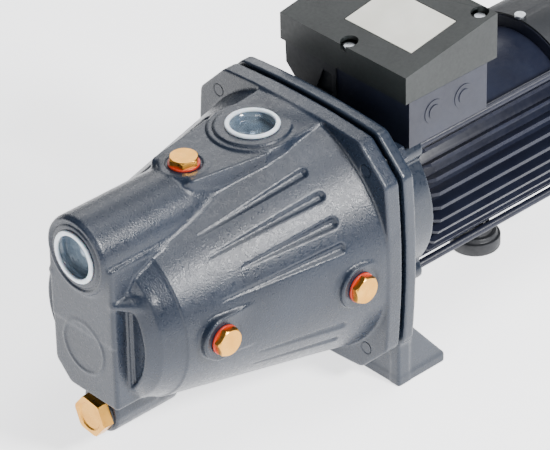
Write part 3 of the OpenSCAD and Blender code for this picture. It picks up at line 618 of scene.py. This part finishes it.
def threaded_bore(c, radius, depth, reach, window):
    """Plain mouth, then a bore with the rings of a pipe thread."""
    def shape(x, y, z):
        r, d = radius(x, y, z), depth(x, y, z)
        wall = PORT_R + 0.7 * np.abs(((d / THREAD_PITCH) % 1.0) * 2 - 1)
        wall = np.where(d < 9, MOUTH_R, wall)
        return np.maximum(r - wall, along(d, -6, reach))
    c.cut(shape, 0, *window)


# ---------------------------------------------------------------- bracket

BRACKET_FRONT = JOINT_Y + 3.8
BRACKET_BACK = BRACKET_FRONT + 9
DRUM_END = mm_box("motor_bracket")[1][1]
BRACKET_NODES = ["motor_bracket", "bracket_foot"]


def build_bracket():
    """The bracket as the one casting it is, in place of both of its CAD nodes."""
    boxes = [mm_box(node) for node in BRACKET_NODES]
    low = [min(box[0][i] for box in boxes) - 4 for i in range(3)]
    high = [max(box[1][i] for box in boxes) + 4 for i in range(3)]
    c = Casting(low, high, VOXEL_CAST * 1.1)
    c.add(lambda x, y, z: smooth_max(flange_field(x, z), along(y, BRACKET_FRONT, BRACKET_BACK), 1.6))
    # foot: front wall, base and two sloping cheeks
    c.add(lambda x, y, z: box_field(x, y, z, (-82, BRACKET_FRONT, 0), (82, BRACKET_BACK, 60), 1.2), 2.0)
    c.add(lambda x, y, z: box_field(x, y, z, (-82, BRACKET_FRONT, 0), (82, 20.5, 6.5), 1.2), 2.0,
          (-95, -30, -10), (95, 35, 30))
    for side in (-1, 1):
        def cheek(x, y, z, side=side):
            slab = along(side * x, 76, 82)
            slope = (z - 46 + (y - BRACKET_BACK) * 1.2) / 1.56
            return smooth_max(smooth_max(slab, slope, 1.2),
                              np.maximum(along(y, BRACKET_FRONT, 20.4), along(z, 0, 46)), 1.2)
        c.add(cheek, 3.0, (-95, -30, -10), (95, 35, 70))
    c.add(lambda x, y, z: smooth_max(along(x, -4, 4),
                                     np.maximum(along(y, -15, 18), along(z, 3, 42)), 1.0), 3.0,
          (-15, -30, 0), (15, 35, 60))
    # drum with its web and bearing hub
    def drum(x, y, z):
        rho = np.sqrt(x * x + (z - SHAFT_Z) ** 2)
        shell = np.abs(rho - 60.25) - 3.25
        return smooth_max(shell, along(y, BRACKET_BACK - 3, DRUM_END), 0.8)
    c.add(drum, 2.0)
    c.add(lambda x, y, z: rod_field(x, z, y, 0, SHAFT_Z, 59, -3, 4), 1.5)
    c.add(lambda x, y, z: rod_field(x, z, y, 0, SHAFT_Z, 26, -3, 16, 1.0), 2.0)
    for x0 in (-TIE_BOLT, TIE_BOLT):
        for z0 in (SHAFT_Z - TIE_BOLT, SHAFT_Z + TIE_BOLT):
            c.add(lambda x, y, z: rod_field(x, z, y, x0, z0, 7.0, BRACKET_BACK - 3, DRUM_END, 1.0), 3.0,
                  (x0 - 16, -25, z0 - 16), (x0 + 16, 40, z0 + 16))
            c.cut(lambda x, y, z: rod_field(x, z, y, x0, z0, 3.1, 8, DRUM_END + 5), 0,
                  (x0 - 16, -25, z0 - 16), (x0 + 16, 40, z0 + 16))
    c.add(lambda x, y, z: rod_field(x, z, y, 0, SHAFT_Z, 74.1, JOINT_Y - 2.9, BRACKET_BACK, 0.6))
    # windows in the sides of the drum
    for side in (-1, 1):
        c.cut(lambda x, y, z: smooth_max(np.maximum(40 - side * x, along(y, BRACKET_BACK + 1.2, 11)),
                                         along(z, 68, 122), 3.0), 1.0,
              (-75, -25, 60), (75, 20, 130))
    c.cut(lambda x, y, z: rod_field(x, z, y, 0, SHAFT_Z, 14.1, JOINT_Y - 8, JOINT_Y + 4.1), 0,
          (-30, -40, 70), (30, 40, 130))
    c.cut(lambda x, y, z: rod_field(x, z, y, 0, SHAFT_Z, 9.6, JOINT_Y - 8, 25), 0,
          (-30, -40, 70), (30, 40, 130))
    c.cut(lambda x, y, z: rod_field(x, z, y, 0, SHAFT_Z, 20.1, 4, 25), 0, (-30, -40, 70), (30, 40, 130))
    c.cut(lambda x, y, z: rod_field(x, z, y, 0, SHAFT_Z, 40, BRACKET_BACK - 3, -3), 0)
    for x0 in (-CORNER_BOLT, CORNER_BOLT):
        for z0 in (SHAFT_Z - CORNER_BOLT, SHAFT_Z + CORNER_BOLT):
            c.cut(lambda x, y, z: rod_field(x, z, y, x0, z0, 4.5, BRACKET_FRONT - 4,
                                            BRACKET_BACK + 4), 0,
                  (x0 - 9, -35, z0 - 9), (x0 + 9, 0, z0 + 9))
    for x0 in (-SLOT_X, SLOT_X):
        c.cut(lambda x, y, z: np.maximum(
            np.sqrt((x - x0) ** 2 + np.maximum(8 - y, 0) ** 2) - 5, along(z, -5, 12)), 0.8,
            (x0 - 12, -5, -10), (x0 + 12, 35, 15))
    c.cut(lambda x, y, z: z)  # level with the ground
    return c.mesh("bracket_cast", "bracket", "base", "cast_blue_grey", BRACKET_NODES)


# ---------------------------------------------------------------- plugs and caps

def hex_head(af, high, chamfer, dish=None):
    """Hexagon whose outer end is chamfered to a circle, about +Z, as points and faces."""
    steps, rows = 72, 5
    verts, faces, rings = [], [], []

    def radius(a, limit):
        flat = af / 2 / math.cos((a % (math.pi / 3)) - math.pi / 6)
        return min(flat, limit)

    unlimited = 99
    levels = [(0.0, unlimited), (high - chamfer, unlimited)]
    for i in range(1, rows + 1):
        t = i / rows
        levels.append((high - chamfer * (1 - t), af / 2 / math.cos(math.pi / 6) - t * chamfer * 1.1))
    for z, limit in levels:
        ring = []
        for i in range(steps):
            a = 2 * math.pi * i / steps
            r = radius(a, limit)
            ring.append(len(verts))
            verts.append((r * math.cos(a), r * math.sin(a), z))
        rings.append(ring)
    inner = []
    if dish is not None:
        rim, depth = dish
        inner = [(rim + 0.5, high), (rim, high - 0.4), (rim, high - depth + 0.4),
                 (rim - 0.6, high - depth)]
    for r, z in inner:
        ring = []
        for i in range(steps):
            a = 2 * math.pi * i / steps
            ring.append(len(verts))
            verts.append((r * math.cos(a), r * math.sin(a), z))
        rings.append(ring)
    for lower, upper in zip(rings, rings[1:]):
        for i in range(steps):
            j = (i + 1) % steps
            faces.append((lower[i], lower[j], upper[j], upper[i]))
    faces.append(tuple(rings[-1]))
    faces.append(tuple(reversed(rings[0])))
    return verts, faces


def hex_plug(name, node, origin, axis, af, head, shank_r, shank_len, dish=None, turn=0.0, chamfer=1.2):
    verts, faces = hex_head(af, head, chamfer, dish)
    c, s = math.cos(math.radians(turn)), math.sin(math.radians(turn))
    verts = [(x * c - y * s, x * s + y * c, z) for x, y, z in verts]
    profile = [(0.01, -shank_len), (shank_r - 0.8, -shank_len), (shank_r, -shank_len + 0.8)]
    pitch, z = 1.34, -shank_len + 1.6
    while z < -1.6:
        profile += [(shank_r, z), (shank_r - 0.65, z + pitch / 2)]
        z += pitch
    profile += [(shank_r - 0.3, 0.05), (0.01, 0.05)]
    lv, lf = lathe(profile)
    offset = len(verts)
    verts = verts + lv
    faces = faces + [tuple(i + offset for i in f) for f in lf]
    obj = make(name, placed(verts, origin, axis), faces, "brass", node, "brass", [node])
    sharp_by_angle(obj, 25)
    return obj


def washer(name, node, body, origin, axis, r_out, r_in, t, mat, slot_name):
    e = min(0.35, t / 3)
    profile = ([(r_in + e, 0), (r_out - e, 0)] + arc(r_out - e, e, e, -90, 0, 4)[1:]
               + arc(r_out - e, t - e, e, 0, 90, 4) + [(r_in + e, t)] + [(r_in, t - e), (r_in, e)])
    verts, faces = lathe(profile)
    return make(name, placed(verts, origin, axis), faces, mat, body, slot_name, [node])


def build_plugs():
    for node, ring, body, axis in (
            ("priming_plug", "priming_washer", "priming_plug", (0, 0, 1)),
            ("gauge_plug_rear", "gauge_washer_rear", "gauge_plug_rear", (1, 0, 0)),
            ("gauge_plug_front", "gauge_washer_front", "gauge_plug_front", (1, 0, 0))):
        low, high = mm_box(ring)
        origin = [(a + b) / 2 for a, b in zip(low, high)]
        k = 2 if axis[2] else 0
        origin[k] = low[k]
        washer(ring + "_ring", ring, body, origin, axis, 10.3, PLUG_BORE_R, 1.5, "red",
               "washer_red")
        top = list(origin)
        top[k] = high[k] + 0.03
        turn = {"priming_plug": 14.0, "gauge_plug_rear": 6.0, "gauge_plug_front": 18.0}[node]
        hex_plug(node, node, top, axis, 17.4, 4.5, 6.5, 8.9, turn=turn)
    low, high = mm_box("drain_oring")
    origin = [(low[0] + high[0]) / 2, high[1], (low[2] + high[2]) / 2]
    washer("drain_ring", "drain_oring", "drain_plug", origin, (0, -1, 0), 13.4, 10.5, 2.0, "rubber",
           "rubber_black")
    hex_plug("drain_plug", "drain_plug", [origin[0], low[1] - 0.05, origin[2]], (0, -1, 0),
             25, 8, 10.4, 11.9, dish=(9.4, 0.9), turn=-8, chamfer=0.7)


def build_cap(node, axis):
    """A thin translucent cup with a paler rim, pushed into a port."""
    low, high = mm_box(node)
    k = 1 if axis[1] else 2
    origin = [(a + b) / 2 for a, b in zip(low, high)]
    origin[k] = high[k] - 1.65 if k == 2 else low[k] + 1.65
    # thin cup: outer wall, bottom, inner wall
    cup = ([(0.02, -7.4), (15.2, -7.4)] + arc(15.2, -6.4, 1.0, -90, 0, 4)[1:]
           + [(16.2, -0.2), (15.1, -0.2), (14.9, -5.4)] + arc(14.1, -5.4, 0.8, 0, -90, 4)[1:]
           + [(3.0, -6.2), (2.2, -5.6), (0.02, -5.4)])
    verts, faces = lathe(cup, closed=False)
    make(node + "_cup", placed(verts, origin, axis), faces, "cap_clear", node, "cap_white", [node])
    rim = ([(14.7, -0.1), (14.6, 0.7)] + arc(15.5, 0.8, 0.9, 180, 90, 4) + arc(17.1, 0.8, 0.8, 90, 0, 4)
           + [(17.9, 0.1), (16.3, -0.05)])
    verts, faces = lathe(rim)
    make(node + "_rim", placed(verts, origin, axis), faces, "cap_rim", node, "cap_white")


# ---------------------------------------------------------------- CAD nodes that stay

def finish_cad_nodes():
    """Materials, and softened edges where the CAD shape is right as it is."""
    plan = {
        "motor_housing": ("navy", 0.7), "rear_shield": ("navy", 0.6), "fan_cover": ("black", 0.8),
        "tie_bolts": ("navy", 0.3), "flange_bolts": ("cast", 0.4), "fan_cover_screws": ("steel", 0.3),
        "terminal_tray": ("black", 0.8), "terminal_gasket": ("rubber", 0.0),
        "nameplate": ("plate", 0.0), "cover_screws": ("steel", 0.3), "knockout_plugs": ("navy", 0.4),
        "rear_foot": ("black", 0.5), "rubber_foot": ("rubber", 0.8), "foot_screw": ("steel", 0.3),
        "casing_gasket": ("rubber", 0.0), "diffuser": ("moulding", 0), "venturi_tube": ("moulding", 0),
        "ejector_nozzle": ("brass", 0), "ejector_oring": ("rubber", 0), "impeller": ("brass", 0),
        "impeller_nut": ("steel", 0), "impeller_key": ("steel", 0), "shaft": ("steel", 0),
        "seal_seat": ("ceramic", 0), "seal_ring": ("moulding", 0), "seal_spring": ("steel", 0),
        "slinger": ("rubber", 0), "front_bearing_outer": ("bright", 0),
        "front_bearing_inner": ("bright", 0), "front_bearing_balls": ("bright", 0),
        "rear_bearing_outer": ("bright", 0), "rear_bearing_inner": ("bright", 0),
        "rear_bearing_balls": ("bright", 0), "wave_washer": ("steel", 0), "stator_core": ("core", 0),
        "stator_windings": ("copper", 0), "rotor_core": ("core", 0),
        "rotor_end_rings": ("aluminium", 0),
        "fan": ("moulding", 0.3), "fan_clip": ("steel", 0), "capacitor": ("aluminium", 0.8),
        "terminal_board": ("moulding", 0), "terminal_studs": ("brass", 0), "earth_screw": ("brass", 0),
        "terminal_cover": ("charcoal", 2.6),
    }
    for node, (mat, width) in plan.items():
        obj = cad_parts[node]
        obj.data.materials.clear()
        obj.data.materials.append(MAT[mat])
        if width:
            weld = obj.modifiers.new("weld", "WELD")
            weld.merge_threshold = 0.00001
            bevelled(obj, width)


# ---------------------------------------------------------------- stage

def add_light(name, location, target, size, power):
    data = bpy.data.lights.new(name, "AREA")
    data.shape = "RECTANGLE"
    data.size, data.size_y = size
    data.energy = power
    obj = bpy.data.objects.new(name, data)
    obj.location = location
    obj.rotation_euler = (Vector(target) - Vector(location)).to_track_quat("-Z", "Y").to_euler()
    bpy.context.scene.collection.objects.link(obj)


def build_stage():
    bm = bmesh.new()
    bmesh.ops.create_grid(bm, x_segments=2, y_segments=2, size=6.0)
    mesh = bpy.data.meshes.new("floor")
    bm.to_mesh(mesh)
    bm.free()
    floor = bpy.data.objects.new("floor", mesh)
    bpy.context.scene.collection.objects.link(floor)
    s = Shader("floor_white", Roughness=0.9, Emission_Strength=1.8)
    s.bsdf.inputs["Emission Color"].default_value = (0.985, 0.985, 1.0, 1)
    s.base(s.ramp(s.noise(400, 2), [(0.3, (0.90, 0.90, 0.90, 1)), (0.7, (0.93, 0.93, 0.93, 1))]))
    floor.data.materials.append(s.mat)

    world = bpy.data.worlds.new("studio")
    bpy.context.scene.world = world
    world.use_nodes = True
    background = world.node_tree.nodes["Background"]
    background.inputs["Color"].default_value = (0.90, 0.94, 1.0, 1)
    background.inputs["Strength"].default_value = 0.26

    centre = (0, -0.05, 0.1)
    add_light("right_box", (1.25, 0.20, 1.05), centre, (0.3, 0.3), 42)
    add_light("top_box", (0.25, 0.35, 1.7), centre, (0.9, 0.9), 18)
    add_light("back_box", (-1.0, 0.85, 1.0), centre, (0.9, 0.9), 9)
    add_light("front_box", (0.7, -1.7, 0.7), centre, (0.8, 0.8), 15)


def build_camera():
    """Camera at the photograph's viewing angle: long lens, in front, to the right and above."""
    azimuth, elevation, roll = math.radians(48.06), math.radians(34.02), math.radians(-1.54)
    distance, lens = 2.4742, 251.93
    target = Vector((0.00004, -0.07445, 0.10001))
    d = Vector((-math.sin(azimuth) * math.cos(elevation), math.cos(azimuth) * math.cos(elevation),
                -math.sin(elevation)))
    r = Vector((math.cos(azimuth), math.sin(azimuth), 0))
    u = r.cross(d)
    right = r * math.cos(roll) + u * math.sin(roll)
    up = -r * math.sin(roll) + u * math.cos(roll)
    data = bpy.data.cameras.new("camera")
    data.sensor_width = 36
    data.lens = lens
    data.shift_x = 0.0465
    data.shift_y = 0.0303
    data.clip_end = 20
    cam = bpy.data.objects.new("camera", data)
    turn = Matrix((right, up, -d)).transposed().to_4x4()
    cam.matrix_world = Matrix.Translation(target - d * distance) @ turn
    bpy.context.scene.collection.objects.link(cam)
    bpy.context.scene.camera = cam


build_camera()
build_stage()
build_casing()
build_bracket()
build_plugs()
build_cap("suction_cap", (0, -1, 0))
build_cap("discharge_cap", (0, 0, 1))
finish_cad_nodes()

bpy.context.view_layer.update()
